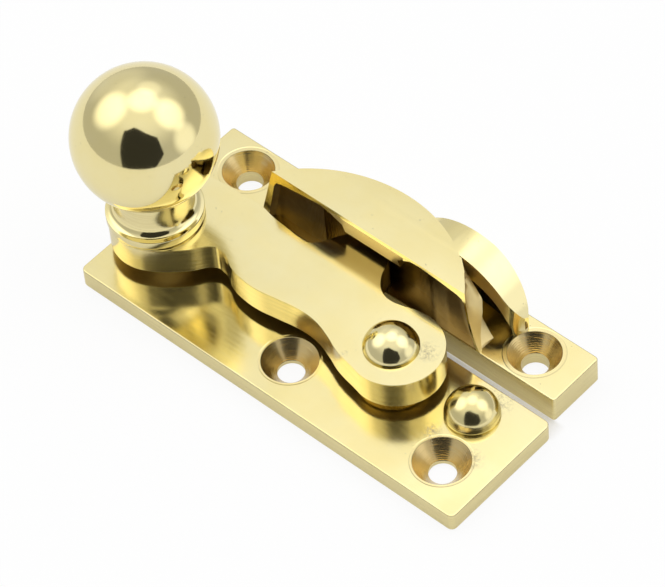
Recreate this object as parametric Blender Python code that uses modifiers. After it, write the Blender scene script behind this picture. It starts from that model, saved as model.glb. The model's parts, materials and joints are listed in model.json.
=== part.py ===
"""A sash window fastener: a knobbed lever on a base plate, and a hooded keep beside it.

Metres, +Z up. The origin is the middle of the base plate's underside. +X runs along the plates,
from the knob end to the stop end, and +Y runs across them, from the base plate to the keep.
The fastener is closed: the lever lies along its base plate with its cam inside the keep's hood.
"""

import math

import bmesh
import bpy
from mathutils import Matrix, Vector

MM = 0.001
GAP = 0.3 * MM  # between pieces that touch on the real fastener

# Base plate
BASE_LENGTH = 70.0 * MM
BASE_WIDTH = 20.8 * MM
BASE_THICKNESS = 3.2 * MM
BASE_CORNER = 0.9 * MM
BASE_HOLE_EDGE = 6.5 * MM  # from the hole row to the plate's near edge
BASE_HOLE_INSET = 7.4 * MM  # from the stop-end hole to the plate's end
BASE_MIDDLE_HOLE_X = -0.4 * MM

# Screw holes
BORE_RADIUS = 2.0 * MM
SINK_DEPTH = 2.6 * MM
BASE_SINK_RADIUS = 4.15 * MM
KEEP_SINK_RADIUS = 3.9 * MM

# Keep plate
KEEP_LENGTH = 69.0 * MM
KEEP_WIDTH = 9.7 * MM
KEEP_THICKNESS = 4.6 * MM
KEEP_SHIFT_X = -1.0 * MM
PLATE_GAP = 2.4 * MM
KEEP_HOLE_INSET = 7.5 * MM

# Hood on the keep
HOOD_HEIGHT = 15.65 * MM
HOOD_HALF_CHORD = 17.9 * MM
HOOD_SAGITTA = 8.8 * MM
HOOD_LEFT_SPREAD = 3.3 * MM
HOOD_RIGHT_SPREAD = 2.4 * MM
HOOD_CROWN_RADIUS = 130.0 * MM
HOOK_RADIUS = 12.2 * MM
HOOK_CENTRE_X = 11.6 * MM
HOOK_CENTRE_Z = 3.35 * MM
POCKET_DEPTH = 1.4 * MM
SLOT_DEPTH = 3.4 * MM
LEAF_DEPTH = 3.1 * MM
SLOT_HEIGHT = 12.8 * MM

# Lever
PIVOT_X = 12.5 * MM
PIVOT_Y = 3.3 * MM
ARM_LENGTH = 42.0 * MM  # from the pivot to the knob
KNOB_Y = 0.4 * MM
ROUND_END_RADIUS = 6.9 * MM
ROUND_END_OFFSET = (0.6 * MM, 0.3 * MM)  # from the pivot
ARM_THICKNESS = 4.6 * MM
WASHER_THICKNESS = 1.1 * MM
WASHER_RADIUS = 5.2 * MM
ARM_EDGE = 0.25 * MM

# Rivets and knob
RIVET_SHANK_RADIUS = 2.2 * MM
DOME_RADIUS = 4.0 * MM
PIVOT_DOME_HEIGHT = 2.8 * MM
STOP_DOME_HEIGHT = 3.75 * MM
STOP_REACH = 13.0 * MM  # from the pivot, along the plate
STOP_Y = 4.9 * MM
BALL_RADIUS = 10.55 * MM
BALL_CENTRE_Z = 25.6 * MM
NECK_FOOT_RADIUS = 7.1 * MM
SPIGOT_RADIUS = 2.4 * MM

ROUND_STEPS = 64

KEEP_NEAR_Y = BASE_WIDTH / 2 + PLATE_GAP
KEEP_FAR_Y = KEEP_NEAR_Y + KEEP_WIDTH
KEEP_MIDDLE_Y = KEEP_NEAR_Y + KEEP_WIDTH / 2
ARM_BOTTOM = BASE_THICKNESS + WASHER_THICKNESS + 2 * GAP
ARM_TOP = ARM_BOTTOM + ARM_THICKNESS
HOOD_FACE_Y = KEEP_NEAR_Y + 0.05 * MM
KNOB_X = PIVOT_X - ARM_LENGTH
STOP_X = PIVOT_X + STOP_REACH
BASE_HOLE_ROW_Y = BASE_HOLE_EDGE - BASE_WIDTH / 2
BASE_HOLE_PITCH = BASE_LENGTH / 2 - BASE_HOLE_INSET - BASE_MIDDLE_HOLE_X
HOOD_UNIT = HOOD_HALF_CHORD / 17.9  # the hood's hollows are given in these


def clear_scene():
    for obj in list(bpy.data.objects):
        bpy.data.objects.remove(obj, do_unlink=True)


def collection(name):
    made = bpy.data.collections.new(name)
    bpy.context.scene.collection.children.link(made)
    return made


def brass(name, colour, roughness):
    made = bpy.data.materials.new(name)
    made.use_nodes = True
    shader = made.node_tree.nodes["Principled BSDF"]
    shader.inputs["Base Color"].default_value = (*colour, 1.0)
    shader.inputs["Metallic"].default_value = 1.0
    shader.inputs["Roughness"].default_value = roughness
    made.diffuse_color = (*colour, 1.0)
    return made


def link_mesh(name, mesh, group, material=None):
    obj = bpy.data.objects.new(name, mesh)
    group.objects.link(obj)
    if material:
        mesh.materials.clear()
        mesh.materials.append(material)
    return obj


def as_cutter(obj):
    obj.hide_render = True
    obj.display_type = "WIRE"
    return obj


def mesh_from(bm, name):
    bmesh.ops.recalc_face_normals(bm, faces=bm.faces)
    if bm.calc_volume(signed=True) < 0:
        bmesh.ops.reverse_faces(bm, faces=bm.faces)
    mesh = bpy.data.meshes.new(name)
    bm.to_mesh(mesh)
    bm.free()
    return mesh


def box(name, low, high, group):
    bm = bmesh.new()
    bmesh.ops.create_cube(bm, size=1.0)
    size = Vector(high) - Vector(low)
    bmesh.ops.scale(bm, vec=size, verts=bm.verts)
    bmesh.ops.translate(bm, vec=(Vector(high) + Vector(low)) / 2, verts=bm.verts)
    return link_mesh(name, mesh_from(bm, name), group)


def rod(name, radius, length, group, axis="Z", steps=ROUND_STEPS):
    """A cylinder centred on its object's origin."""
    bm = bmesh.new()
    bmesh.ops.create_cone(
        bm, cap_ends=True, segments=steps, radius1=radius, radius2=radius, depth=length
    )
    if axis == "Y":
        bmesh.ops.rotate(bm, matrix=Matrix.Rotation(math.pi / 2, 3, "X"), verts=bm.verts)
    if axis == "X":
        bmesh.ops.rotate(bm, matrix=Matrix.Rotation(math.pi / 2, 3, "Y"), verts=bm.verts)
    return link_mesh(name, mesh_from(bm, name), group)


def ball(name, radii, group):
    bm = bmesh.new()
    bmesh.ops.create_uvsphere(bm, u_segments=48, v_segments=24, radius=1.0)
    bmesh.ops.scale(bm, vec=radii, verts=bm.verts)
    return link_mesh(name, mesh_from(bm, name), group)


def loft(name, rings, group):
    """A closed solid through rings of equal length, each a list of points, with flat end caps."""
    bm = bmesh.new()
    rows = [[bm.verts.new(point) for point in ring] for ring in rings]
    count = len(rows[0])
    for lower, upper in zip(rows, rows[1:]):
        for i in range(count):
            j = (i + 1) % count
            bm.faces.new((lower[i], lower[j], upper[j], upper[i]))
    bm.faces.new(rows[0])
    bm.faces.new(rows[-1])
    return link_mesh(name, mesh_from(bm, name), group)


def turned(name, profile, group, material=None, steps=ROUND_STEPS):
    """Turns a list of (radius, height), which runs top to bottom, about the object's Z axis."""
    mesh = bpy.data.meshes.new(name)
    points = [(radius, 0.0, height) for radius, height in profile]
    edges = [(i, i + 1) for i in range(len(points) - 1)]
    mesh.from_pydata(points, edges, [])
    obj = link_mesh(name, mesh, group, material)
    screw = obj.modifiers.new("Turn", "SCREW")
    screw.steps = steps
    screw.render_steps = steps
    screw.use_merge_vertices = True
    screw.merge_threshold = 0.01 * MM
    return obj


def arc(centre, radius, start_deg, end_deg, steps):
    """Points on an arc in a plane, given as (across, along), from the start to the end angle."""
    angles = [math.radians(start_deg + (end_deg - start_deg) * i / steps) for i in range(steps + 1)]
    return [
        (centre[0] + radius * math.cos(angle), centre[1] + radius * math.sin(angle))
        for angle in angles
    ]


def evaluated_mesh(obj):
    """The object's shape with its modifiers, welded, as a mesh of its own."""
    bpy.context.view_layer.update()
    graph = bpy.context.evaluated_depsgraph_get()
    mesh = bpy.data.meshes.new_from_object(obj.evaluated_get(graph))
    bm = bmesh.new()
    bm.from_mesh(mesh)
    bmesh.ops.remove_doubles(bm, verts=bm.verts, dist=0.001 * MM)
    bm.to_mesh(mesh)
    bm.free()
    return mesh


def boolean(target, cutter, operation="DIFFERENCE"):
    modifier = target.modifiers.new(operation.title(), "BOOLEAN")
    modifier.operation = operation
    modifier.solver = "EXACT"
    modifier.object = cutter
    return as_cutter(cutter)


def round_edges(obj, width, segments=2, angle_deg=40):
    modifier = obj.modifiers.new("Rounding", "BEVEL")
    modifier.width = width
    modifier.segments = segments
    modifier.limit_method = "ANGLE"
    modifier.angle_limit = math.radians(angle_deg)
    return modifier


def finish(obj, angle_deg=35):
    """Applies the object's modifiers, then shades it smooth but for its sharp edges."""
    name = obj.data.name
    mesh = evaluated_mesh(obj)
    obj.modifiers.clear()
    obj.data = mesh
    mesh.name = name
    mesh.shade_smooth()
    mesh.set_sharp_from_angle(angle=math.radians(angle_deg))
    normals = obj.modifiers.new("Flat faces stay flat", "WEIGHTED_NORMAL")
    normals.keep_sharp = True
    normals.weight = 100


def plate(name, low, high, corner, group):
    """A flat plate with rounded corners and softly broken edges."""
    obj = box(name, low, high, group)
    bm = bmesh.new()
    bm.from_mesh(obj.data)
    upright = [e for e in bm.edges if abs(e.verts[0].co.z - e.verts[1].co.z) > 0.5 * (high[2] - low[2])]
    bmesh.ops.bevel(bm, geom=upright, offset=corner, segments=4, profile=0.5, affect="EDGES")
    bm.to_mesh(obj.data)
    bm.free()
    round_edges(obj, 0.2 * MM)
    return obj


def screw_hole(name, x, y, top, sink_radius, group):
    """A cutter for a countersunk screw hole: a bore with a cone over it."""
    above = 1.0 * MM
    below = 1.0 * MM
    profile = [
        (0.0, top + above),
        (sink_radius, top + above),
        (sink_radius, top),
        (BORE_RADIUS, top - SINK_DEPTH),
        (BORE_RADIUS, -below),
        (0.0, -below),
    ]
    cutter = turned(name, profile, group, steps=48)
    cutter.location = (x, y, 0.0)
    return cutter


def rivet_hole(name, x, y, radius, tail_radius, top, group):
    """A cutter for a rivet: a bore that opens out below for the spread tail."""
    below = 1.0 * MM
    tail = 1.0 * MM
    profile = [
        (0.0, top + 1.0 * MM),
        (radius, top + 1.0 * MM),
        (radius, tail),
        (tail_radius, 0.0),
        (tail_radius, -below),
        (0.0, -below),
    ]
    cutter = turned(name, profile, group, steps=48)
    cutter.location = (x, y, 0.0)
    return cutter


def base_plate(parts, cutters, material):
    half_length = BASE_LENGTH / 2
    half_width = BASE_WIDTH / 2
    obj = plate(
        "base_plate",
        (-half_length, -half_width, 0.0),
        (half_length, half_width, BASE_THICKNESS),
        BASE_CORNER,
        parts,
    )
    obj.data.materials.append(material)
    holes = (
        (BASE_MIDDLE_HOLE_X, BASE_HOLE_ROW_Y),
        (BASE_MIDDLE_HOLE_X + BASE_HOLE_PITCH, BASE_HOLE_ROW_Y),
        (BASE_MIDDLE_HOLE_X - BASE_HOLE_PITCH, 0.0),
    )
    for i, (x, y) in enumerate(holes):
        cutter = screw_hole(f"cut_base_screw_{i}", x, y, BASE_THICKNESS, BASE_SINK_RADIUS, cutters)
        boolean(obj, cutter)
    for name, x, y, shank in (
        ("cut_pivot_hole", PIVOT_X, PIVOT_Y, RIVET_SHANK_RADIUS),
        ("cut_stop_hole", STOP_X, STOP_Y, RIVET_SHANK_RADIUS * 0.8),
    ):
        radius = shank + GAP
        boolean(obj, rivet_hole(name, x, y, radius, radius + 1.0 * MM, BASE_THICKNESS, cutters))
    finish(obj)


def half_moon(left_spread, right_spread, sagitta, height, crown_radius, steps=36):
    """One level of the hood: a straight near edge and an arc behind it, as a closed ring."""
    radius = (HOOD_HALF_CHORD**2 + sagitta**2) / (2 * sagitta)
    reach = math.asin(HOOD_HALF_CHORD / radius)
    ring = []
    for i in range(steps + 1):
        angle = reach - 2 * reach * i / steps
        x = radius * math.sin(angle)
        x *= 1 + (right_spread if x > 0 else left_spread) / HOOD_HALF_CHORD
        y = radius * math.cos(angle) - (radius - sagitta)
        drop = crown_radius - math.sqrt(crown_radius**2 - y**2) if crown_radius else 0.0
        ring.append((x, HOOD_FACE_Y + y, height - drop))
    return ring


def hood_shell(cutters):
    """The raised half-moon: it flares towards the plate and its top falls away behind."""
    foot = KEEP_THICKNESS - 1.0 * MM
    rise = HOOD_HEIGHT - foot
    shares = (0.0, 0.08, 0.14, 0.22, 0.32, 0.44, 0.58, 0.74, 0.9, 1.0)
    rings = []
    for share in shares:
        crown = HOOD_CROWN_RADIUS if share > 0.9 else 0.0
        rings.append(
            half_moon(
                HOOD_LEFT_SPREAD * (1 - share),
                HOOD_RIGHT_SPREAD * (1 - share) ** 2,
                HOOD_SAGITTA + 0.6 * MM * (1 - share) ** 2,
                foot + rise * share,
                crown,
            )
        )
    bm = bmesh.new()
    rows = [[bm.verts.new(point) for point in ring] for ring in rings]
    count = len(rows[0])
    for lower, upper in zip(rows, rows[1:]):
        for i in range(count):
            j = (i + 1) % count
            bm.faces.new((lower[i], lower[j], upper[j], upper[i]))
    # The ends of the arc are paired across the hood, so each strip of a cap is a flat quad.
    for row in (rows[0], rows[-1]):
        for i in range(count // 2):
            a, b, c, d = row[i], row[i + 1], row[count - 2 - i], row[count - 1 - i]
            bm.faces.new((a, b, d) if b is c else (a, b, c, d))
    return link_mesh("hood_shell", mesh_from(bm, "hood_shell"), cutters)


def leaf_wall(cutters):
    """The hood's stop-end wall: a hollow, leaf-shaped face that leans out towards the plate."""
    levels = (
        (15.45, 17.7, 15.2),
        (14.9, 17.75, 15.7),
        (14.2, 17.85, 16.5),
        (13.2, 18.0, 17.4),
        (11.8, 18.2, 18.4),
        (10.2, 18.4, 19.1),
        (8.6, 18.65, 19.55),
        (6.8, 19.1, 19.95),
        (5.4, 19.7, 20.3),
        (4.6, 20.1, 20.5),
        (4.0, 20.3, 20.6),
    )
    rings = []
    for height, near, far in levels:
        ring = [(8.0, 0.0), (near, 0.0)]
        for share in (0.25, 0.5, 0.75):
            hollow = 0.25 * (1 - (2 * share - 1) ** 2)
            ring.append((near + (far - near) * share - hollow, LEAF_DEPTH * share / HOOD_UNIT))
        ring += [(far, LEAF_DEPTH / HOOD_UNIT), (13.2, 4.8), (8.0, 4.8)]
        rings.append(
            [(x * HOOD_UNIT, HOOD_FACE_Y + y * HOOD_UNIT, height * HOOD_UNIT) for x, y in ring]
        )
    return loft("leaf_wall", rings, cutters)


def between(points, x):
    """Reads a line through (x, value) points, which run in order of x."""
    for (x0, v0), (x1, v1) in zip(points, points[1:]):
        if x <= x1:
            return v0 + (v1 - v0) * max(0.0, (x - x0) / (x1 - x0))
    return points[-1][1]


def hook(cutters):
    """The far half: an arched blade that comes down to a blunt tip beside the screw hole."""
    side = KEEP_MIDDLE_Y + 0.1 * MM
    near = [(-1.0, 0.0), (20.4, 0.0), (21.2, 0.15), (21.9, 0.5), (22.5, 1.0), (22.9, 1.6)]
    far = [
        (-1.0, 4.75), (15.0, 4.75), (17.0, 4.6), (18.8, 4.3), (20.4, 3.9),
        (21.6, 3.45), (22.4, 2.95), (22.9, 2.4),
    ]
    steps = 30
    start = math.radians(176.0)
    end = math.acos(11.3 / 12.2)
    rings = []
    for i in range(steps + 1):
        angle = start + (end - start) * i / steps
        x = HOOK_CENTRE_X + HOOK_RADIUS * math.cos(angle)
        top = HOOK_CENTRE_Z + HOOK_RADIUS * math.sin(angle)
        low = KEEP_THICKNESS - 1.0 * MM
        near_y = side + between(near, x / HOOD_UNIT) * HOOD_UNIT
        far_y = side + between(far, x / HOOD_UNIT) * HOOD_UNIT
        top = max(top, low + 0.2 * MM)
        rings.append([(x, near_y, low), (x, near_y, top), (x, far_y, top), (x, far_y, low)])
    blade = loft("hook", rings, cutters)
    dish = ball("hook_dish", (8.6 * HOOD_UNIT, 2.6 * HOOD_UNIT, 8.6 * HOOD_UNIT), cutters)
    dish.location = (13.4 * HOOD_UNIT, side, 3.2 * HOOD_UNIT)
    boolean(blade, dish)
    return as_cutter(blade)


def cam_pocket(cutters):
    """The shallow hollow in the hood's near side. It leaves a lip over the cam's slot."""
    outer = [
        (-20.3, 3.0),
        (-19.6, 5.0),
        (-18.6, 9.0),
        (-17.8, 12.6),
        (-17.3, 13.6),
        (-16.2, 14.0),
        (-12.9, 14.5),
        (-9.6, 14.95),
        (-8.2, 14.9),
        (-7.0, 14.3),
        (-5.2, 12.7),
        (-4.2, 12.5),
        (0.0, 12.5),
        (4.4, 12.5),
        (5.3, 13.0),
        (6.4, 14.2),
        (7.8, 15.0),
        (9.4, 15.2),
        (13.0, 14.9),
        (16.4, 14.4),
        (17.3, 14.0),
        (17.65, 13.2),
        (17.95, 11.0),
        (18.5, 8.0),
        (19.4, 5.0),
        (19.9, 3.0),
    ]
    rings = []
    for depth, inset, drop in ((-0.5, 0.0, 0.0), (0.0, 0.0, 0.0), (0.65, 0.8, 0.15), (1.0, 2.4, 0.6)):
        ring = []
        for x, z in outer:
            end = min(1.0, max(0.0, (abs(x) - 9.0) / 7.0))
            side = 1.0 if x > 0 else -0.6
            low = min(1.0, max(0.0, (z - 4.6) / 4.0)) * end
            ring.append(
                (
                    (x - side * inset * end) * HOOD_UNIT,
                    HOOD_FACE_Y + depth * POCKET_DEPTH,
                    (z - drop * low) * HOOD_UNIT,
                )
            )
        rings.append(ring)
    return loft("cut_cam_pocket", rings, cutters)


def cam_slot(cutters):
    """The deep slot for the cam. Its ends run out smoothly into the pocket, as a cutter's path."""
    run = [
        (14.6, 0.38),
        (12.8, 0.44),
        (11.2, 0.52),
        (10.2, 0.61),
        (9.5, 0.71),
        (9.0, 0.82),
        (8.3, 0.93),
        (7.2, 0.99),
        (6.0, 1.0),
        (-5.6, 1.0),
        (-6.8, 0.97),
        (-7.8, 0.89),
        (-8.6, 0.76),
        (-9.2, 0.6),
        (-9.7, 0.38),
    ]
    outline = [(-9.7 * HOOD_UNIT, HOOD_FACE_Y - 1.0 * MM), (14.6 * HOOD_UNIT, HOOD_FACE_Y - 1.0 * MM)]
    outline += [(x * HOOD_UNIT, HOOD_FACE_Y + share * SLOT_DEPTH) for x, share in run]
    # Where the run's ends are, the pocket has already opened the hood's face.
    return loft(
        "cut_cam_slot",
        [[(x, y, z) for x, y in outline] for z in (3.0 * MM, SLOT_HEIGHT)],
        cutters,
    )


def scoop(cutters):
    """The hollow between the leaf-shaped face and the hook, open at the top and the stop end."""
    outline = [
        (31.0, 20.0),
        (15.4, 20.0),
        (15.0, 16.4),
        (14.8, 14.6),
        (14.8, 12.6),
        (15.1, 10.8),
        (15.8, 9.2),
        (16.7, 7.8),
        (17.8, 6.5),
        (18.7, 5.55),
        (19.4, 4.9),
        (19.9, 4.6),
        (20.4, 4.45),
        (31.0, 4.45),
    ]
    side = KEEP_MIDDLE_Y + 0.1 * MM
    foot_y = HOOD_FACE_Y + 0.6 * MM
    lean = 0.33
    points = [(x * HOOD_UNIT, z * HOOD_UNIT) for x, z in outline]
    near_ring = [
        (x, min(foot_y + lean * (z - KEEP_THICKNESS), side - 0.05 * MM), z) for x, z in points
    ]
    far_ring = [(x, side, z) for x, z in points]
    return loft("cut_scoop", [near_ring, far_ring], cutters)


def keep(parts, cutters, material):
    body = plate(
        "keep",
        (KEEP_SHIFT_X - KEEP_LENGTH / 2, KEEP_NEAR_Y, 0.0),
        (KEEP_SHIFT_X + KEEP_LENGTH / 2, KEEP_FAR_Y, KEEP_THICKNESS),
        0.5 * MM,
        parts,
    )
    body.data.materials.append(material)
    hood = hood_shell(cutters)
    boolean(hood, leaf_wall(cutters), "UNION")
    boolean(hood, cam_pocket(cutters))
    boolean(hood, cam_slot(cutters))
    boolean(hood, scoop(cutters))
    boolean(hood, hook(cutters), "UNION")
    boolean(body, hood, "UNION")
    for i, side in enumerate((-1, 1)):
        x = KEEP_SHIFT_X + side * (KEEP_LENGTH / 2 - KEEP_HOLE_INSET)
        cutter = screw_hole(
            f"cut_keep_screw_{i}", x, KEEP_MIDDLE_Y, KEEP_THICKNESS, KEEP_SINK_RADIUS, cutters
        )
        boolean(body, cutter)
    finish(body)


def along_arm(x):
    """Where an outline point lies along the lever. The shank stretches, and the lobe stays."""
    stretch = 42.0 * MM - ARM_LENGTH
    share = min(max((-10.0 - x) / 8.0, 0.0), 1.0)
    return PIVOT_X + (x - 12.5) * MM + share * stretch


def arm_outline():
    """The lever seen from above, anticlockwise, as (x, y, sharp) control points."""
    boss = arc((KNOB_X, KNOB_Y), ROUND_END_RADIUS, 165, 300, 6)
    near_waist = [
        (-21.4, -1.9, False),
        (-19.4, 0.6, False),
        (-18.35, 1.2, True),
        (-16.4, 0.9, False),
        (-14.3, -0.3, False),
        (-11.8, -0.85, False),
        (-9.0, -0.95, False),
        (-5.6, -0.45, False),
        (-1.75, 0.1, False),
        (1.4, -0.05, False),
        (4.4, -0.95, False),
        (7.2, -2.1, False),
    ]
    centre = (PIVOT_X + ROUND_END_OFFSET[0], PIVOT_Y + ROUND_END_OFFSET[1])
    round_end = arc(centre, ROUND_END_RADIUS, 250, 458, 10)
    far_side = [
        (8.5, 9.45, False),
        (7.2, 9.25, False),
        (5.9, 9.4, False),
        (4.6, 10.1, False),
        (3.6, 11.2, False),
        (2.9, 12.4, False),
        (2.4, 13.9, False),
        (1.7, 15.1, False),
        (0.3, 15.6, False),
        (-3.8, 15.6, False),
        (-5.2, 15.1, False),
        (-6.0, 14.1, False),
        (-7.0, 12.3, False),
        (-7.8, 10.9, False),
        (-8.9, 10.0, False),
        (-10.6, 9.85, False),
        (-13.1, 10.1, False),
        (-16.1, 10.4, False),
        (-18.4, 10.85, False),
        (-22.7, 10.75, False),
        (-27.6, 10.4, False),
        (-31.6, 9.3, False),
        (-34.8, 6.4, False),
    ]
    points = [(x, y, False) for x, y in boss]
    points += [(along_arm(x), y * MM, sharp) for x, y, sharp in near_waist]
    points += [(x, y, False) for x, y in round_end]
    points += [(along_arm(x), y * MM, sharp) for x, y, sharp in far_side]
    return points


def lever_arm(parts, material, pivot):
    points = arm_outline()
    curve = bpy.data.curves.new("arm_outline", "CURVE")
    curve.dimensions = "2D"
    curve.fill_mode = "BOTH"
    curve.extrude = ARM_THICKNESS / 2
    curve.resolution_u = 5
    spline = curve.splines.new("BEZIER")
    spline.bezier_points.add(len(points) - 1)
    for knot, (x, y, sharp) in zip(spline.bezier_points, points):
        knot.co = (x, y, 0.0)
        knot.handle_left_type = "VECTOR" if sharp else "AUTO"
        knot.handle_right_type = "VECTOR" if sharp else "AUTO"
    spline.use_cyclic_u = True
    for x, y, radius in (
        (PIVOT_X, PIVOT_Y, RIVET_SHANK_RADIUS + 0.05 * MM),
        (KNOB_X, KNOB_Y, SPIGOT_RADIUS + GAP),
    ):
        ring = arc((x, y), radius, 0, 345, 23)
        hole = curve.splines.new("POLY")
        hole.points.add(len(ring) - 1)
        for point, (ring_x, ring_y) in zip(hole.points, ring):
            point.co = (ring_x, ring_y, 0.0, 1.0)
        hole.use_cyclic_u = True
    outline = bpy.data.objects.new("arm_outline", curve)
    parts.objects.link(outline)
    mesh = evaluated_mesh(outline)
    bpy.data.objects.remove(outline, do_unlink=True)
    mesh.transform(Matrix.Translation((-PIVOT_X, -PIVOT_Y, ARM_BOTTOM + ARM_THICKNESS / 2)))
    obj = link_mesh("lever_arm", mesh, parts, material)
    obj.parent = pivot

    round_edges(obj, ARM_EDGE, 2, 50)
    finish(obj)


def knob(parts, material, pivot):
    """The ball, its flared neck, and the spigot that the arm holds it by."""
    foot = ARM_TOP + GAP
    neck_radius = 5.3 * MM
    half_angle = math.degrees(math.asin(neck_radius / BALL_RADIUS))
    profile = arc((0.0, BALL_CENTRE_Z), BALL_RADIUS, 90, -90 + half_angle, 23)
    profile += [
        (5.25 * MM, foot + 5.4 * MM),
        (5.5 * MM, foot + 4.2 * MM),
        (6.0 * MM, foot + 3.1 * MM),
        (6.45 * MM, foot + 2.3 * MM),
        (6.55 * MM, foot + 1.7 * MM),
        (6.5 * MM, foot + 1.25 * MM),
        (6.9 * MM, foot + 1.15 * MM),
        (NECK_FOOT_RADIUS, foot + 0.9 * MM),
        (NECK_FOOT_RADIUS, foot + 0.3 * MM),
        (NECK_FOOT_RADIUS - 0.3 * MM, foot),
        (SPIGOT_RADIUS, foot),
        (SPIGOT_RADIUS, ARM_BOTTOM + 0.1 * MM),
        (0.0, ARM_BOTTOM + 0.1 * MM),
    ]
    obj = turned("knob", profile, parts, material, steps=56)
    obj.location = (KNOB_X - PIVOT_X, KNOB_Y - PIVOT_Y, 0.0)
    obj.parent = pivot
    finish(obj, 35)


def dome(radius, height, seat, steps=12):
    """The profile of a rivet's domed head, from its top to its rim."""
    sphere = (radius**2 + height**2) / (2 * height)
    centre = seat + height - sphere
    rim = math.degrees(math.asin((seat - centre) / sphere))
    return arc((0.0, centre), sphere, 90, rim, steps)


def rivet(name, x, y, seat, head_height, shank, parts, material):
    """A dome-headed rivet through the base plate, its tail spread flush underneath."""
    profile = dome(DOME_RADIUS, head_height, seat)
    profile += [
        (DOME_RADIUS - 0.15 * MM, seat),
        (shank, seat),
        (shank, 1.0 * MM),
        (shank + 0.9 * MM, 0.15 * MM),
        (0.0, 0.15 * MM),
    ]
    obj = turned(name, profile, parts, material, steps=48)
    obj.location = (x, y, 0.0)
    finish(obj, 35)


def pivot_washer(parts, material):
    low = BASE_THICKNESS + GAP
    high = low + WASHER_THICKNESS
    inner = RIVET_SHANK_RADIUS + GAP
    profile = [
        (inner, high),
        (WASHER_RADIUS, high),
        (WASHER_RADIUS, low),
        (inner, low),
        (inner, high),
    ]
    obj = turned("pivot_washer", profile, parts, material, steps=48)
    obj.location = (PIVOT_X, PIVOT_Y, 0.0)
    finish(obj)


def main():
    clear_scene()
    parts = collection("sash_window_fastener")
    cutters = collection("cutters")
    polished = brass("polished_brass", (0.86, 0.70, 0.36), 0.10)
    satin = brass("satin_brass", (0.84, 0.68, 0.36), 0.22)
    mirror = brass("mirror_brass", (0.85, 0.71, 0.38), 0.05)

    base_plate(parts, cutters, polished)
    keep(parts, cutters, polished)

    pivot = bpy.data.objects.new("lever_pivot", None)
    parts.objects.link(pivot)
    pivot.location = (PIVOT_X, PIVOT_Y, 0.0)
    lever_arm(parts, satin, pivot)
    knob(parts, mirror, pivot)

    pivot_washer(parts, satin)
    rivet(
        "pivot_rivet", PIVOT_X, PIVOT_Y, ARM_TOP + GAP, PIVOT_DOME_HEIGHT,
        RIVET_SHANK_RADIUS, parts, mirror,
    )
    rivet(
        "stop_rivet", STOP_X, STOP_Y, BASE_THICKNESS + GAP, STOP_DOME_HEIGHT,
        RIVET_SHANK_RADIUS * 0.8, parts, mirror,
    )


main()
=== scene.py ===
"""The looks of the sash window fastener: brass surfaces, studio light and the camera."""

import json
import math

import bmesh
import bpy
from mathutils import Matrix, Vector


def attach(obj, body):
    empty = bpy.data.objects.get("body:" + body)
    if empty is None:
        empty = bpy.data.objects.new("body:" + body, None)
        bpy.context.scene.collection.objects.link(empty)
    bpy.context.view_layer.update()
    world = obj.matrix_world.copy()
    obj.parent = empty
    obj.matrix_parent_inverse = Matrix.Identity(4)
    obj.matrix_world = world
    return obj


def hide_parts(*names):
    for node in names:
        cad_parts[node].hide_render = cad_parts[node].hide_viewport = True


MM = 0.001

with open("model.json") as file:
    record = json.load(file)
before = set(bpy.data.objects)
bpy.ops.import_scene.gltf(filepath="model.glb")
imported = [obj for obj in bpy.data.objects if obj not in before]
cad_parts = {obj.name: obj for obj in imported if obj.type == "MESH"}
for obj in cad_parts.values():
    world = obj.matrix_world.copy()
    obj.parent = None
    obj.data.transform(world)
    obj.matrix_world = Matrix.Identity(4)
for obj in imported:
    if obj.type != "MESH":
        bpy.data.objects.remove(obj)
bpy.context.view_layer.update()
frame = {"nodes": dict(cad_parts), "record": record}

BODY_OF = {}
for body_name, body_nodes in frame["record"]["behaviour"]["bodies"].items():
    for node_name in body_nodes:
        BODY_OF[node_name] = body_name

# Places on the part, as (x, y) in metres
BASE_HOLES = ((-0.0004, -0.0039), (0.0276, -0.0039), (-0.0284, 0.0))
KEEP_HOLES = ((-0.0280, 0.01765), (0.0260, 0.01765))
KNOB = (-0.0295, 0.0004)
PIVOT = (0.0125, 0.0033)
STOP = (0.0255, 0.0049)

# Heights on the part, in millimetres
BASE_TOP = 3.2
KEEP_TOP = 4.6
ARM_TOP = 9.5
SEAT_GAP = 0.3

# Small dirt marks, as a place and a radius in metres
BASE_DIRT = (((0.0268, 0.0085), 0.0015), ((0.0305, -0.0012), 0.0012), ((0.0232, -0.0010), 0.0010))
ARM_DIRT = (((0.0172, 0.0056), 0.0011), ((0.0084, -0.0019), 0.0004))


# ---------------------------------------------------------------- materials


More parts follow.
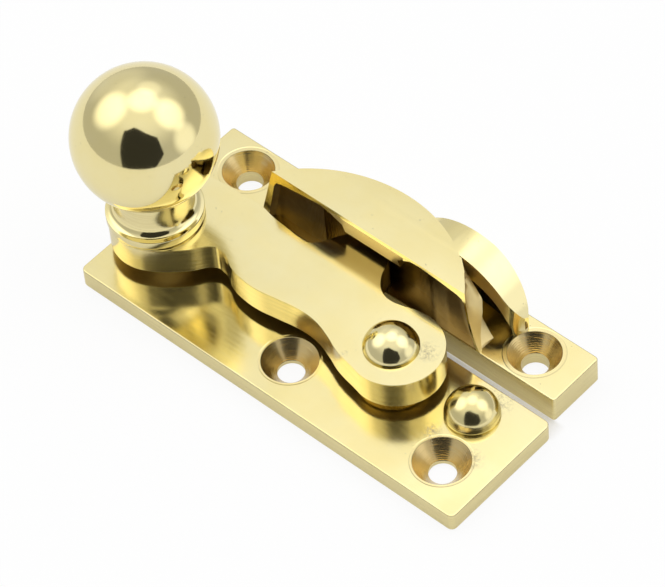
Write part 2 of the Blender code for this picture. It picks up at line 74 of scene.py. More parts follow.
class Graph:
    """Builds a material's nodes with short calls."""

    def __init__(self, name):
        self.material = bpy.data.materials.new(name)
        self.material.use_nodes = True
        self.tree = self.material.node_tree
        self.shader = self.tree.nodes["Principled BSDF"]
        self.coordinates = self.tree.nodes.new("ShaderNodeTexCoord")

    def node(self, kind, **settings):
        made = self.tree.nodes.new("ShaderNode" + kind)
        for key, value in settings.items():
            setattr(made, key, value)
        return made

    def link(self, output, target):
        self.tree.links.new(output, target)

    def feed(self, node, socket, value):
        """Sets an input to a number or vector, or links it to an output."""
        if isinstance(value, bpy.types.NodeSocket):
            self.link(value, node.inputs[socket])
        else:
            node.inputs[socket].default_value = value

    def math(self, operation, first, second=0.0):
        made = self.node("Math", operation=operation)
        self.feed(made, 0, first)
        self.feed(made, 1, second)
        return made.outputs[0]

    def plus(self, first, *others):
        for other in others:
            first = self.math("ADD", first, other)
        return first

    def minus(self, first, second):
        return self.math("SUBTRACT", first, second)

    def times(self, first, *others):
        for other in others:
            first = self.math("MULTIPLY", first, other)
        return first

    def size(self, value):
        return self.math("ABSOLUTE", value)

    def place(self):
        """The x, y and z of the point, in metres."""
        return self.separate(self.coordinates.outputs["Object"])

    def mapped(self, scale, turn_z=0.0):
        made = self.node("Mapping")
        self.link(self.coordinates.outputs["Object"], made.inputs["Vector"])
        made.inputs["Rotation"].default_value = (0.0, 0.0, turn_z)
        made.inputs["Scale"].default_value = scale
        return made.outputs[0]

    def noise(self, vector, scale, detail=3.0, roughness=0.55):
        made = self.node("TexNoise")
        self.link(vector, made.inputs["Vector"])
        made.inputs["Scale"].default_value = scale
        made.inputs["Detail"].default_value = detail
        made.inputs["Roughness"].default_value = roughness
        return made.outputs["Fac"]

    def remap(self, value, low, high, to_low, to_high):
        made = self.node("MapRange")
        self.feed(made, "Value", value)
        made.inputs["From Min"].default_value = low
        made.inputs["From Max"].default_value = high
        made.inputs["To Min"].default_value = to_low
        made.inputs["To Max"].default_value = to_high
        return made.outputs[0]

    def spread(self, noise, to_low, to_high):
        """Stretches the middle of a noise, where most of its values lie, over a range."""
        return self.remap(noise, 0.3, 0.7, to_low, to_high)

    def mix(self, share, first, second):
        """A mix of two colours."""
        made = self.node("Mix", data_type="RGBA")
        self.feed(made, "Factor", share)
        sockets = [s for s in made.inputs if s.type == "RGBA"]
        for socket, value in zip(sockets, (first, second)):
            if isinstance(value, bpy.types.NodeSocket):
                self.link(value, socket)
            else:
                socket.default_value = (*value, 1.0)
        return [s for s in made.outputs if s.type == "RGBA"][0]

    def blend(self, share, first, second):
        """A mix of two numbers."""
        made = self.node("Mix", data_type="FLOAT")
        self.feed(made, 0, share)
        self.feed(made, 2, first)
        self.feed(made, 3, second)
        return made.outputs[0]

    def bump(self, height):
        """A normal from a height in metres."""
        made = self.node("Bump")
        self.feed(made, "Height", height)
        made.inputs["Distance"].default_value = 1.0
        made.inputs["Strength"].default_value = 1.0
        return made.outputs[0]

    def separate(self, vector):
        made = self.node("SeparateXYZ")
        self.link(vector, made.inputs[0])
        return made.outputs

    def distance_to_axis(self, place):
        """How far a point is from an upright axis, in metres."""
        x, y, _ = self.place()
        across = self.minus(x, place[0])
        along = self.minus(y, place[1])
        return self.math("SQRT", self.plus(self.times(across, across), self.times(along, along)))

    def spot(self, place, radius, softness):
        """A soft-edged mask, 1 inside the radius of an upright axis."""
        distance = self.distance_to_axis(place)
        return self.remap(distance, radius - softness, radius + softness, 1.0, 0.0)


PALE = (0.90, 0.80, 0.44)
WARM = (0.89, 0.765, 0.365)
BRONZE = (0.76, 0.59, 0.28)
DULL = (0.76, 0.645, 0.32)
TARNISH = (0.42, 0.35, 0.16)
ROUGH_CUT = (0.74, 0.58, 0.27)
# The dark brown of an unpolished casting skin, darkened further as painted shade in hollows and under
# the lever.
SKIN_AND_SHADE_COLOUR = (0.185, 0.108, 0.018)
GRIME = (0.23, 0.20, 0.16)

SINK_ROUGHNESS = 0.24
CUT_ROUGHNESS = 0.42
CAST_ROUGHNESS = 0.36

# How high the unevenness stands, and how wide single marks are, in metres
WAVE_HEIGHT = 0.00022
GRAIN_HEIGHT = 0.0000008
CAST_HEIGHT = 0.000012
STROKE_HEIGHT = 0.000012
STROKE_PITCH = 0.00027
RING_PITCH = 0.0002
SINK_RADIUS = 0.0045
SOFT_EDGE = 0.00006


class Brass(Graph):
    """Hand-polished brass. Each method lays one more working, kind of wear or painted shade over the
    last.
    """

    def __init__(self, name, roughness, brush_turn, brush, wave):
        super().__init__(name)
        self.everywhere = self.mapped((1.0, 1.0, 1.0))
        marks = self.noise(self.mapped((70.0, 2300.0, 700.0), brush_turn), 1.0, 3.0, 0.65)
        cross_marks = self.noise(self.mapped((1500.0, 60.0, 500.0), brush_turn + 0.35), 1.0, 2.0)
        self.patches = self.noise(self.everywhere, 70.0, 4.0, 0.6)
        grain = self.noise(self.everywhere, 2600.0, 2.0)
        slow = self.noise(self.everywhere, 55.0, 1.0, 0.3)
        self.colour = self.mix(self.remap(self.patches, 0.38, 0.68, 0.0, 1.0), PALE, WARM)
        self.rough = self.plus(
            self.spread(marks, roughness * 0.8, roughness * 1.25),
            self.spread(self.patches, -0.02, 0.03),
        )
        fine = self.plus(self.times(marks, 0.7), self.times(cross_marks, 0.3))
        self.height = self.plus(
            self.times(fine, brush),
            self.times(grain, GRAIN_HEIGHT),
            self.times(slow, WAVE_HEIGHT * wave),
        )

    def turn_sink(self, place, top):
        """Turning rings inside a countersink, below the height of the plate's top in metres."""
        below = self.remap(self.place()[2], top - SOFT_EDGE, top + 0.00002, 1.0, 0.0)
        reach = self.times(self.spot(place, SINK_RADIUS, SOFT_EDGE), below)
        distance = self.distance_to_axis(place)
        # The rings are a noise read along the radius, a little out of true round the hole.
        line = self.node("CombineXYZ")
        self.feed(line, 0, distance)
        self.feed(line, 1, self.times(self.noise(self.everywhere, 260.0, 1.0), 0.0009))
        coarse = self.noise(line.outputs[0], 3600.0, 2.0, 0.6)
        thin = self.noise(line.outputs[0], 14000.0, 1.0, 0.5)
        turns = self.times(distance, 2 * math.pi / RING_PITCH)
        even = self.math("SINE", self.plus(turns, self.times(coarse, 5.0)))
        ring = self.plus(
            self.times(coarse, 0.00004),
            self.times(thin, 0.000012),
            self.times(even, 0.0000045),
        )
        self.height = self.blend(reach, self.height, ring)
        self.rough = self.blend(reach, self.rough, SINK_ROUGHNESS)
        browned = self.times(reach, self.spread(self.patches, 0.7, 1.0))
        self.colour = self.mix(browned, self.colour, BRONZE)

    def dirty(self, place, radius):
        """A small dirt mark."""
        cloud = self.noise(self.everywhere, 900.0, 6.0, 0.85)
        near = self.spot(place, radius, radius * 0.85)
        reach = self.times(near, self.remap(cloud, 0.45, 0.62, 0.0, 0.85))
        self.colour = self.mix(reach, self.colour, GRIME)
        self.rough = self.plus(self.rough, self.times(reach, 0.25))

    def leave_cut_skin_and_shade(self, strokes):
        """Rough metal where the stored value is up to 0.5, and from there to 1 a dark casting skin that
        is also painted shade.
        """
        cast_and_shade = self.node("Attribute", attribute_name="cast_and_shade").outputs["Fac"]
        mottle = self.spread(self.noise(self.everywhere, 600.0, 4.0, 0.6), 0.8, 1.0)
        cut = self.remap(cast_and_shade, 0.0, 0.5, 0.0, 1.0)
        skin_and_shade_share = self.remap(cast_and_shade, 0.5, 1.0, 0.0, 1.0)
        self.colour = self.mix(self.times(cut, mottle), self.colour, ROUGH_CUT)
        # This dark mix is partly casting skin and partly painted shade in hollows and under the lever.
        skin_and_shade = self.times(skin_and_shade_share, self.remap(mottle, 0.8, 1.0, 0.93, 1.0))
        self.colour = self.mix(skin_and_shade, self.colour, SKIN_AND_SHADE_COLOUR)
        cut_rough = self.blend(cut, self.rough, CUT_ROUGHNESS)
        self.rough = self.blend(skin_and_shade_share, cut_rough, CAST_ROUGHNESS)
        height = self.times(self.noise(self.everywhere, 1300.0, 3.0, 0.6), CAST_HEIGHT)
        if strokes:
            height = self.plus(height, self.file_strokes())
        self.height = self.blend(cut, self.height, height)

    def file_strokes(self):
        """Upright file strokes on each side of the hood's middle."""
        x = self.place()[0]
        wander = self.times(self.noise(self.everywhere, 500.0, 1.0), 0.0005)
        turns = self.times(self.plus(x, wander), 2 * math.pi / STROKE_PITCH)
        far_out = self.size(x)
        filed = self.times(
            self.remap(far_out, 0.0058, 0.0066, 0.0, 1.0),
            self.remap(far_out, 0.0125, 0.0135, 1.0, 0.0),
        )
        return self.times(self.math("SINE", turns), filed, STROKE_HEIGHT)

    def speckle(self, strength):
        specks = self.remap(self.noise(self.everywhere, 1900.0, 1.0), 0.74, 0.80, 0.0, strength)
        self.colour = self.mix(specks, self.colour, GRIME)

    def dull_sides(self, top, roughness, colour):
        """Upright faces below a height in metres are filed level and polished less."""
        normal = self.separate(self.node("NewGeometry").outputs["True Normal"])
        upright = self.remap(self.size(normal[2]), 0.25, 0.45, 1.0, 0.0)
        share = self.times(upright, self.remap(self.place()[2], top, top + 0.0001, 1.0, 0.0))
        filed = self.noise(self.mapped((120.0, 120.0, 9000.0)), 1.0, 3.0, 0.6)
        filed_rough = self.spread(filed, roughness * 0.8, roughness * 1.2)
        self.colour = self.mix(share, self.colour, self.mix(self.spread(filed, 0.0, 1.0), colour, PALE))
        self.rough = self.blend(share, self.rough, filed_rough)
        self.height = self.blend(share, self.height, self.times(filed, roughness * 0.00003))

    def finished(self):
        self.link(self.colour, self.shader.inputs["Base Color"])
        self.link(self.rough, self.shader.inputs["Roughness"])
        self.shader.inputs["Metallic"].default_value = 1.0
        self.link(self.bump(self.height), self.shader.inputs["Normal"])
        return self.material


def brass(name, roughness, brush_turn, brush, wave=1.0, **wear):
    """A brass material. "brush" is the height of its brush marks in metres.

    The wear may name "sinks" and "dirt" as places, whether it has file "strokes", its "sides" as
    (top, roughness, colour), and how strong its "specks" are.
    """
    made = Brass(name, roughness, brush_turn, brush, wave)
    for place, top in wear.get("sinks", ()):
        made.turn_sink(place, top)
    for place, radius in wear.get("dirt", ()):
        made.dirty(place, radius)
    made.leave_cut_skin_and_shade(wear.get("strokes", False))
    made.speckle(wear.get("specks", 0.3))
    if "sides" in wear:
        made.dull_sides(*wear["sides"])
    return made.finished()


# ---------------------------------------------------------------- the keep's lowered lip

# Bars along X in millimetres: where each starts and ends, and its (y, z) section
LIP_FILL = (-5.3, 5.0, ((12.95, 15.3), (12.95, 10.9), (16.3, 10.9), (16.3, 15.3)))
LIP_LEAN = (-7.2, 6.6, ((11.9, 14.9), (12.849, 14.9), (13.85, 10.85), (13.85, 9.6), (11.9, 9.6)))


def prism(low_x, high_x, section):
    """A bar along X from (y, z) points. All is in millimetres."""
    bm = bmesh.new()
    rings = []
    for end in (low_x, high_x):
        rings.append([bm.verts.new((end * MM, y * MM, z * MM)) for y, z in section])
    for ring in rings:
        bm.faces.new(ring)
    for i in range(len(section)):
        j = (i + 1) % len(section)
        bm.faces.new((rings[0][i], rings[0][j], rings[1][j], rings[1][i]))
    bmesh.ops.recalc_face_normals(bm, faces=bm.faces)
    mesh = bpy.data.meshes.new("bar")
    bm.to_mesh(mesh)
    bm.free()
    return mesh


def combined(mesh, tool_mesh, operation):
    """The mesh after one exact Boolean."""
    pair = [bpy.data.objects.new("shape", mesh), bpy.data.objects.new("tool", tool_mesh)]
    for obj in pair:
        bpy.context.scene.collection.objects.link(obj)
    step = pair[0].modifiers.new("step", "BOOLEAN")
    step.object = pair[1]
    step.operation = operation
    step.solver = "EXACT"
    bpy.context.view_layer.update()
    shape = pair[0].evaluated_get(bpy.context.evaluated_depsgraph_get())
    result = bpy.data.meshes.new_from_object(shape)
    for obj in pair:
        bpy.data.objects.remove(obj, do_unlink=True)
    return result


def lower_lip(mesh):
    """The lip over the cam leans inwards and comes down to just above the lever."""
    filled = combined(mesh, prism(*LIP_FILL), "UNION")
    return combined(filled, prism(*LIP_LEAN), "DIFFERENCE")


# ---------------------------------------------------------------- faces of the keep

# Boxes in millimetres, as (low, high) along X, Y and Z
ANY = (-math.inf, math.inf)
LEAF_HOLLOW = ((14.4, 20.9), (12.9, 17.6), (4.7, 15.3))
CAM_HOLLOW = (ANY, (12.87, 16.6), (4.3, 15.4))
LEAF_SIDE = ((14.4, math.inf), ANY, ANY)
LIP_FRONT = ((-7.3, 6.7), ANY, (11.5, math.inf))
SCOOP = ((14.4, 21.0), (12.86, 17.9), (4.64, 15.6))
SCOOP_BACK_Y = 15.95
CAM_HOLLOW_END_X = 20.5

# How far a face is from polished, 0, to a dark casting skin that is also painted shade, 1. At 0.5 it is
# roughly cut.
POLISHED = 0.0
LEAF_CAST = 0.45
# Values above 0.5 paint shade: on the scoop's hollow, the lip's slanted face, the lever's underside and
# the pocket's inner faces.
SCOOP_CUT_AND_SHADE = 0.53
LIP_CUT_AND_SHADE = 0.57
UNDER_SIDE_SKIN_AND_SHADE = 0.68
SKIN_AND_SHADE = 1.0

# A face whose normal leans this far towards +X belongs to the leaf's scooped side.
LEANS_OUT = 0.2


def in_mm(point):
    return tuple(value / MM for value in point)


def inside(point, box):
    return all(low < value < high for value, (low, high) in zip(point, box))


def in_leaf_hollow(face):
    """Whether a face belongs to the scooped side of the leaf, which is one soft surface."""
    return inside(in_mm(face.calc_center_median()), LEAF_HOLLOW) and face.normal.x > LEANS_OUT


def hollow_skin_and_shade(centre, normal):
    """How far a face in the cam's hollow is darkened: the polishing wheel misses most of it, and its
    inner faces are painted in shade.
    """
    point = in_mm(centre)
    x = point[0]
    if inside(point, LEAF_SIDE) and normal.x > LEANS_OUT or not inside(point, CAM_HOLLOW):
        return POLISHED
    # The lip's slanted face is rough cut and a little darker: painted shade.
    if normal.y < -0.9 and inside(point, LIP_FRONT):
        return LIP_CUT_AND_SHADE
    # Faces turned into the pocket get the dark casting skin colour, which is also painted shade there.
    faces_in = normal.y < -0.15 or normal.z < -0.4 or normal.x * x < -0.1 * abs(x)
    return SKIN_AND_SHADE if faces_in and abs(x) < CAM_HOLLOW_END_X else POLISHED


def in_scoop(centre, normal):
    """How far a face between the leaf-shaped end and the hook is rough cut; the hollow beyond the leaf
    is also a little darkened as painted shade.
    """
    point = in_mm(centre)
    if not inside(point, SCOOP):
        return POLISHED
    # The scoop's value, just over 0.5, adds a little painted shade to the rough cut.
    return LEAF_CAST if point[1] < SCOOP_BACK_Y and normal.x > LEANS_OUT else SCOOP_CUT_AND_SHADE


def under_side(centre, normal):
    """How far a face of the lever is darkened: its underside is never polished, and is also painted in
    shade.
    """
    return UNDER_SIDE_SKIN_AND_SHADE if normal.z < -0.9 else POLISHED


def mark_cut_skin_and_shade(mesh, *tests):
    """Stores each face's share of rough cut, casting skin and painted shade, on its corners."""
    layer = mesh.attributes.new("cast_and_shade", "FLOAT", "CORNER")
    for face in mesh.polygons:
        share = max(test(face.center, face.normal) for test in tests)
        for corner in face.loop_indices:
            layer.data[corner].value = share


# ---------------------------------------------------------------- surfaces

SHARP_DEG = 32.0
HOLLOW_SHARP_DEG = 75.0
WELD_DISTANCE = 0.002 * MM
FLAT_DEG = 0.3


def smooth_mesh(mesh, keep_faces=False):
    """Smooth faces, with the sharp edges marked. A CAD mesh also gets its flat faces joined."""
    stored = mesh.attributes.get("custom_normal")
    if stored:
        mesh.attributes.remove(stored)
    bm = bmesh.new()
    bm.from_mesh(mesh)
    bmesh.ops.remove_doubles(bm, verts=bm.verts, dist=WELD_DISTANCE)
    if not keep_faces:
        bmesh.ops.dissolve_limit(
            bm,
            angle_limit=math.radians(FLAT_DEG),
            verts=bm.verts,
            edges=bm.edges,
            use_dissolve_boundaries=False,
        )
    for face in bm.faces:
        face.smooth = True
    for edge in bm.edges:
        soft = not keep_faces and all(map(in_leaf_hollow, edge.link_faces))
        limit = HOLLOW_SHARP_DEG if soft else SHARP_DEG
        edge.smooth = edge.calc_face_angle(math.pi) < math.radians(limit)
    bm.to_mesh(mesh)
    bm.free()
    return mesh


def welded(node, reshape=None):
    """A copy of a CAD node's mesh with its flat faces whole and its sharp edges marked."""
    mesh = frame["nodes"][node].data.copy()
    if reshape:
        mesh = reshape(mesh)
    return smooth_mesh(mesh)


def turned(profile, steps, place):
    """A closed surface turned from (radius, z) points in millimetres, round an upright axis."""
    bm = bmesh.new()
    rings = []
    for radius, z in profile:
        ring = []
        for i in range(steps if radius > 0 else 1):
            angle = 2 * math.pi * i / steps
            x = place[0] + radius * MM * math.cos(angle)
            y = place[1] + radius * MM * math.sin(angle)
            ring.append(bm.verts.new((x, y, z * MM)))
        rings.append(ring)
    for upper, lower in zip(rings, rings[1:]):
        for i in range(steps):
            j = (i + 1) % steps
            corners = [upper[i % len(upper)], lower[i % len(lower)]]
            corners += [lower[j % len(lower)], upper[j % len(upper)]]
            # A ring of one point gives three corners.
            bm.faces.new(list(dict.fromkeys(corners)))
    bmesh.ops.recalc_face_normals(bm, faces=bm.faces)
    mesh = bpy.data.meshes.new("turned")
    bm.to_mesh(mesh)
    bm.free()
    return smooth_mesh(mesh, True)


def ball_arc(radius, centre_z, low_deg, steps):
    """(radius, z) points down a ball from its top to an elevation."""
    points = []
    for i in range(steps + 1):
        angle = math.radians(90 + (low_deg - 90) * i / steps)
        across = radius * math.cos(angle) if i else 0.0
        points.append((across, centre_z + radius * math.sin(angle)))
    return points


# The knob, in millimetres. The neck is (radius, height over its foot), down to the flange's edge.
BALL_RADIUS = 10.55
BALL_CENTRE_Z = 25.6
NECK_AT_BALL = 5.4
NECK = (
    (5.45, 6.3), (5.5, 5.5), (5.5, 4.6), (5.51, 3.9), (5.54, 3.3), (5.6, 2.8), (5.69, 2.42),
    (5.83, 2.1), (6.0, 1.84), (6.2, 1.64), (6.42, 1.5), (6.66, 1.42), (6.9, 1.38), (7.04, 1.34),
    (7.09, 1.27), (7.1, 1.18), (7.1, 0.2), (7.07, 0.0), (7.0, -0.12), (6.9, -0.24),
)  # fmt: skip
SPIGOT_RADIUS = 2.4
SPIGOT_END_Z = 5.0
BALL_STEPS = 60
KNOB_STEPS = 128

# The rivets, in millimetres: dome radius, dome height, and shank radius
PIVOT_RIVET = (4.0, 2.8, 2.2)
STOP_RIVET = (4.0, 3.75, 1.76)
RIM_DEPTH = 0.24
TAIL_SPREAD = 0.9
TAIL_START_Z = 1.0
TAIL_END_Z = 0.15
DOME_ARC_STEPS = 28
DOME_STEPS = 96


def knob_mesh():
    """The ball on its neck and flange, with the spigot into the lever."""
    foot = ARM_TOP + SEAT_GAP
    low_deg = -90 + math.degrees(math.asin(NECK_AT_BALL / BALL_RADIUS))
    profile = ball_arc(BALL_RADIUS, BALL_CENTRE_Z, low_deg, BALL_STEPS)
    profile += [(radius, foot + up) for radius, up in NECK]
    profile += [(SPIGOT_RADIUS, foot - RIM_DEPTH), (SPIGOT_RADIUS, SPIGOT_END_Z), (0.0, SPIGOT_END_Z)]
    return turned(profile, KNOB_STEPS, KNOB)


def dome_mesh(place, top, rivet):
    """A rivet whose dome stands over a face at a height, with its tail spread in the base."""
    radius, height, shank = rivet
    seat = top + SEAT_GAP
    sphere = (radius**2 + height**2) / (2 * height)
    centre = seat + height - sphere
    rim = math.degrees(math.asin((seat - centre) / sphere))
    profile = ball_arc(sphere, centre, rim, DOME_ARC_STEPS)
    profile += [
        (radius - 0.06, seat - RIM_DEPTH / 2),
        (radius - 0.2, seat - RIM_DEPTH),
        (shank, seat - RIM_DEPTH),
        (shank, TAIL_START_Z),
        (shank + TAIL_SPREAD, TAIL_END_Z),
        (0.0, TAIL_END_Z),
    ]
    return turned(profile, DOME_STEPS, place)


def show(node, mesh, material):
    """Puts a mesh in the place of a CAD node."""
    mesh.materials.clear()
    mesh.materials.append(material)
    shown = bpy.data.objects.new(node + "_surface", mesh)
    bpy.context.scene.collection.objects.link(shown)
    normals = shown.modifiers.new("Flat faces stay flat", "WEIGHTED_NORMAL")
    normals.weight = 50
    normals.keep_sharp = True
    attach(shown, BODY_OF[node])
    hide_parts(node)


# The polish reaches this far down over the top edges, in millimetres.
POLISHED_EDGE = 0.2
# In metres: where the knob's neck ends, and a height over all of both rivets
NECK_TOP_Z = 0.0165
OVER_RIVETS_Z = 0.02


def dull_below(top, roughness):
    """The sides of a flat piece whose top is at a height in millimetres."""
    return ((top - POLISHED_EDGE) * MM, roughness, DULL)


def dress_all():
    base_brass = brass(
        "base_brass", 0.14, 0.0, 0.000005,
        sinks=[(place, BASE_TOP * MM) for place in BASE_HOLES],
        dirt=BASE_DIRT,
        sides=dull_below(BASE_TOP, 0.33),
    )  # fmt: skip
    show("base_plate", welded("base_plate"), base_brass)

    keep_mesh = welded("keep", lower_lip)
    mark_cut_skin_and_shade(keep_mesh, hollow_skin_and_shade, in_scoop)
    keep_brass = brass(
        "keep_brass", 0.14, 0.1, 0.000003,
        sinks=[(place, KEEP_TOP * MM) for place in KEEP_HOLES],
        strokes=True,
        sides=dull_below(KEEP_TOP, 0.33),
    )  # fmt: skip
    show("keep", keep_mesh, keep_brass)

    arm_mesh = welded("lever_arm")
    mark_cut_skin_and_shade(arm_mesh, under_side)
    arm_brass = brass("arm_brass", 0.15, 0.5, 0.000006, dirt=ARM_DIRT, sides=dull_below(ARM_TOP, 0.20))
    show("lever_arm", arm_mesh, arm_brass)

    knob_sides = (NECK_TOP_Z, 0.17, DULL)
    knob_brass = brass("knob_brass", 0.07, 0.3, 0.0000006, 0.0, sides=knob_sides, specks=0.2)
    show("knob", knob_mesh(), knob_brass)

    rivet_sides = (OVER_RIVETS_Z, 0.16, TARNISH)
    rivet_brass = brass("rivet_brass", 0.11, 0.2, 0.000001, 0.2, sides=rivet_sides)
    show("pivot_rivet", dome_mesh(PIVOT, ARM_TOP, PIVOT_RIVET), rivet_brass)

    washer_brass = brass("washer_brass", 0.25, 0.2, 0.000005)
    show("pivot_washer", welded("pivot_washer"), washer_brass)

    stop_sides = (OVER_RIVETS_Z, 0.22, TARNISH)
    stop_brass = brass("stop_brass", 0.12, 0.9, 0.0000015, 0.2, sides=stop_sides)
    show("stop_rivet", dome_mesh(STOP, BASE_TOP, STOP_RIVET), stop_brass)


# ---------------------------------------------------------------- light, floor and camera


def direction(azimuth_deg, elevation_deg):
    """A unit vector. Azimuth 0 is towards -Y and 90 is towards +X."""
    azimuth = math.radians(azimuth_deg)
    elevation = math.radians(elevation_deg)
    level = math.cos(elevation)
    return (level * math.sin(azimuth), -level * math.cos(azimuth), math.sin(elevation))


class Sky(Graph):
    """Builds the world's nodes. Its vector is the direction that is looked in."""

    def __init__(self, world):
        world.use_nodes = True
        self.tree = world.node_tree
        self.background = self.tree.nodes["Background"]
        self.coordinates = self.tree.nodes.new("ShaderNodeTexCoord")
        self.toward = self.coordinates.outputs["Generated"]

    def glow(self, azimuth_deg, elevation_deg, inner_deg, outer_deg):
        """1 near a direction, falling smoothly to 0."""
        dot = self.node("VectorMath", operation="DOT_PRODUCT")
        self.link(self.toward, dot.inputs[0])
        dot.inputs[1].default_value = direction(azimuth_deg, elevation_deg)
        made = self.node("MapRange", interpolation_type="SMOOTHERSTEP")
        self.link(dot.outputs["Value"], made.inputs["Value"])
        made.inputs["From Min"].default_value = math.cos(math.radians(outer_deg))
        made.inputs["From Max"].default_value = math.cos(math.radians(inner_deg))
        return made.outputs[0]

    def step(self, value, low, high):
        """0 at the low value, rising smoothly to 1 at the high one, whichever is larger."""
        made = self.node("MapRange", interpolation_type="SMOOTHSTEP")
        self.feed(made, "Value", value)
        made.inputs["From Min"].default_value = low
        made.inputs["From Max"].default_value = high
        return made.outputs[0]


TENT_LEVEL = 0.53
TENT_TOP = 0.44
# Lamps on the tent: azimuth, elevation, inner and outer radius in degrees, and strength
TENT_SPOTS = (
    (-64.0, 45.0, 3.0, 33.0, 0.85),
    (134.0, 48.0, 3.0, 30.0, 0.8),
    (-146.0, 74.0, 3.0, 26.0, 0.75),
    (-152.0, 50.0, 4.0, 18.0, 0.22),
    (-112.0, 20.0, 4.0, 34.0, 0.18),
    (116.0, 12.0, 4.0, 26.0, 0.55),
)

# The dark opening: azimuths of its sides in degrees, and heights on a unit sphere
OPENING_LEVEL = 0.035
OPENING_LEFT_DEG = (12.0, 14.0)
OPENING_LEAN_DEG = 16.0
OPENING_RIGHT_DEG = (76.0, 74.0)
CORNER_TOP = 0.25
CORNER_DEG = 56.0
GABLE_RISE = 0.28
GABLE_RISE_TOP = (0.79, 0.77)
GABLE_FALL = 0.22
GABLE_FALL_TOP = (0.96, 0.94)
GABLE_SWELL = 0.26
GABLE_SWELL_DEG = (20.0, 75.0)

# The gap between the plates, in metres: its middle, and the soft ends of its half sizes
GAP_MIDDLE_Y = 0.0116
GAP_HALF_LENGTH = (0.0335, 0.0355)
GAP_HALF_WIDTH = (0.0012, 0.0016)
GAP_SHADE = 0.8

FLOOR_RADIUS = 0.9
FLOOR_Z = -0.0002
FLOOR_GLOW = (("Is Camera Ray", 0.9), ("Is Glossy Ray", 0.40))
FLOOR_IN_METAL = 0.81

# The camera, with its focal length in the photograph's pixels
FOCAL_PIXELS = 4000.0
PHOTO_WIDTH_PIXELS = 665.0
SENSOR_WIDTH = 36.0
CAMERA_PLACE = Vector((0.25872, -0.24241, 0.43462))
# Its right, up and back directions are the columns.
CAMERA_TURN = Matrix(
    (
        (0.742521, -0.481670, 0.465464),
        (0.666796, 0.597517, -0.445372),
        (-0.063600, 0.641068, 0.764845),
    )
)


def opening_mask(sky, azimuth, z):
    """1 inside the opening. Its left side leans, its top is a blunt gable."""
    leaning = sky.plus(azimuth, sky.times(z, math.radians(OPENING_LEAN_DEG)))
    left = sky.step(leaning, *map(math.radians, OPENING_LEFT_DEG))
    # The lower right corner is cut off.
    low = sky.math("MAXIMUM", sky.minus(CORNER_TOP, z), 0.0)
    cornered = sky.plus(azimuth, sky.times(low, math.radians(CORNER_DEG)))
    right = sky.step(cornered, *map(math.radians, OPENING_RIGHT_DEG))
    rising = sky.step(sky.minus(z, sky.times(azimuth, GABLE_RISE)), *GABLE_RISE_TOP)
    # The falling side of the gable swells outwards between two azimuths.
    start, end = map(math.radians, GABLE_SWELL_DEG)
    swell = sky.times(sky.minus(azimuth, start), sky.minus(azimuth, end))
    fall = sky.plus(z, sky.times(azimuth, GABLE_FALL), sky.times(swell, GABLE_SWELL))
    falling = sky.step(fall, *GABLE_FALL_TOP)
    return sky.times(sky.times(left, right), sky.times(rising, falling))


def tent(world):
    """A white tent, brightest overhead, with lamps round it and a dark opening in front."""
    sky = Sky(world)
    x, y, z = sky.separate(sky.toward)
    azimuth = sky.math("ARCTAN2", x, sky.times(y, -1.0))
    total = sky.plus(sky.times(sky.step(z, 0.35, 1.0), TENT_TOP), TENT_LEVEL)
    for azimuth_deg, elevation_deg, inner, outer, strength in TENT_SPOTS:
        glow = sky.glow(azimuth_deg, elevation_deg, inner, outer)
        total = sky.plus(total, sky.times(glow, strength))
    lit = sky.blend(opening_mask(sky, azimuth, z), total, OPENING_LEVEL)
    # The background itself is plain white.
    path = sky.node("LightPath")
    seen = sky.blend(path.outputs["Is Camera Ray"], lit, 1.0)
    sky.link(seen, sky.background.inputs["Strength"])
    sky.background.inputs["Color"].default_value = (1.0, 1.0, 1.0, 1.0)


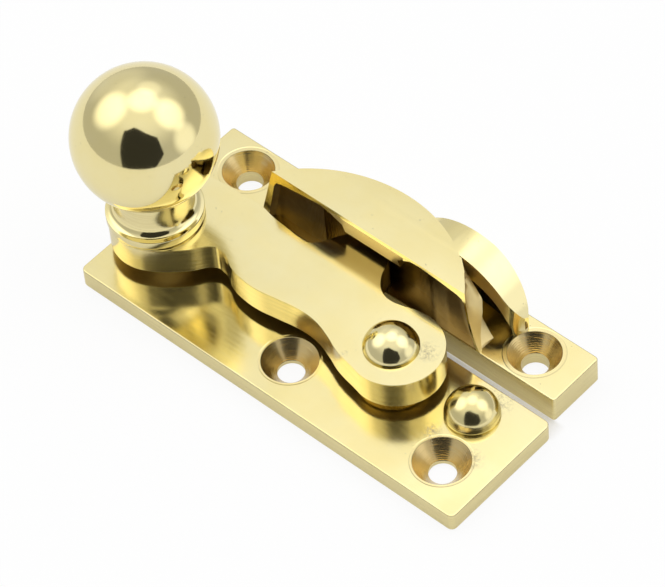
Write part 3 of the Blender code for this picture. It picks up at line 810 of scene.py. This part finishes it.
def floor_paper():
    """White paper that takes a shadow, with a glow that is less in the gap between the plates."""
    g = Graph("floor_paper")
    grain = g.noise(g.mapped((1.0, 1.0, 1.0)), 300.0, 4.0)
    g.link(g.mix(grain, (0.97, 0.97, 0.97), (1.0, 1.0, 1.0)), g.shader.inputs["Base Color"])
    g.shader.inputs["Roughness"].default_value = 0.9
    g.shader.inputs["Specular IOR Level"].default_value = 0.0
    ray = g.node("LightPath")
    glow = g.node("Emission")
    glow.inputs["Color"].default_value = (1.0, 1.0, 1.0, 1.0)
    level = g.remap(ray.outputs["Is Camera Ray"], 0.0, 1.0, FLOOR_IN_METAL, 1.0)
    g.link(level, glow.inputs["Strength"])
    shares = [g.times(ray.outputs[name], share) for name, share in FLOOR_GLOW]
    # The narrow gap between the two plates lies in their shade.
    x, y, _ = g.place()
    along = g.remap(g.size(x), *GAP_HALF_LENGTH, 1.0, 0.0)
    across = g.remap(g.size(g.minus(y, GAP_MIDDLE_Y)), *GAP_HALF_WIDTH, 1.0, 0.0)
    open_floor = g.minus(1.0, g.times(along, across, GAP_SHADE))
    blend = g.node("MixShader")
    g.link(g.times(g.math("MAXIMUM", *shares), open_floor), blend.inputs[0])
    g.link(g.shader.outputs[0], blend.inputs[1])
    g.link(glow.outputs[0], blend.inputs[2])
    g.link(blend.outputs[0], g.tree.nodes["Material Output"].inputs["Surface"])
    return g.material


def studio():
    world = bpy.data.worlds.new("studio")
    bpy.context.scene.world = world
    tent(world)

    floor_mesh = bpy.data.meshes.new("floor")
    bm = bmesh.new()
    bmesh.ops.create_circle(bm, cap_ends=True, segments=96, radius=FLOOR_RADIUS)
    bm.to_mesh(floor_mesh)
    bm.free()
    floor = bpy.data.objects.new("floor", floor_mesh)
    bpy.context.scene.collection.objects.link(floor)
    floor.location.z = FLOOR_Z
    floor_mesh.materials.append(floor_paper())


def camera():
    data = bpy.data.cameras.new("camera")
    data.sensor_width = SENSOR_WIDTH
    data.lens = FOCAL_PIXELS * SENSOR_WIDTH / PHOTO_WIDTH_PIXELS
    data.clip_start = 0.01
    made = bpy.data.objects.new("camera", data)
    bpy.context.scene.collection.objects.link(made)
    made.matrix_world = Matrix.Translation(CAMERA_PLACE) @ CAMERA_TURN.to_4x4()
    bpy.context.scene.camera = made


dress_all()
studio()
camera()

scene = bpy.context.scene
scene.view_settings.view_transform = "Standard"
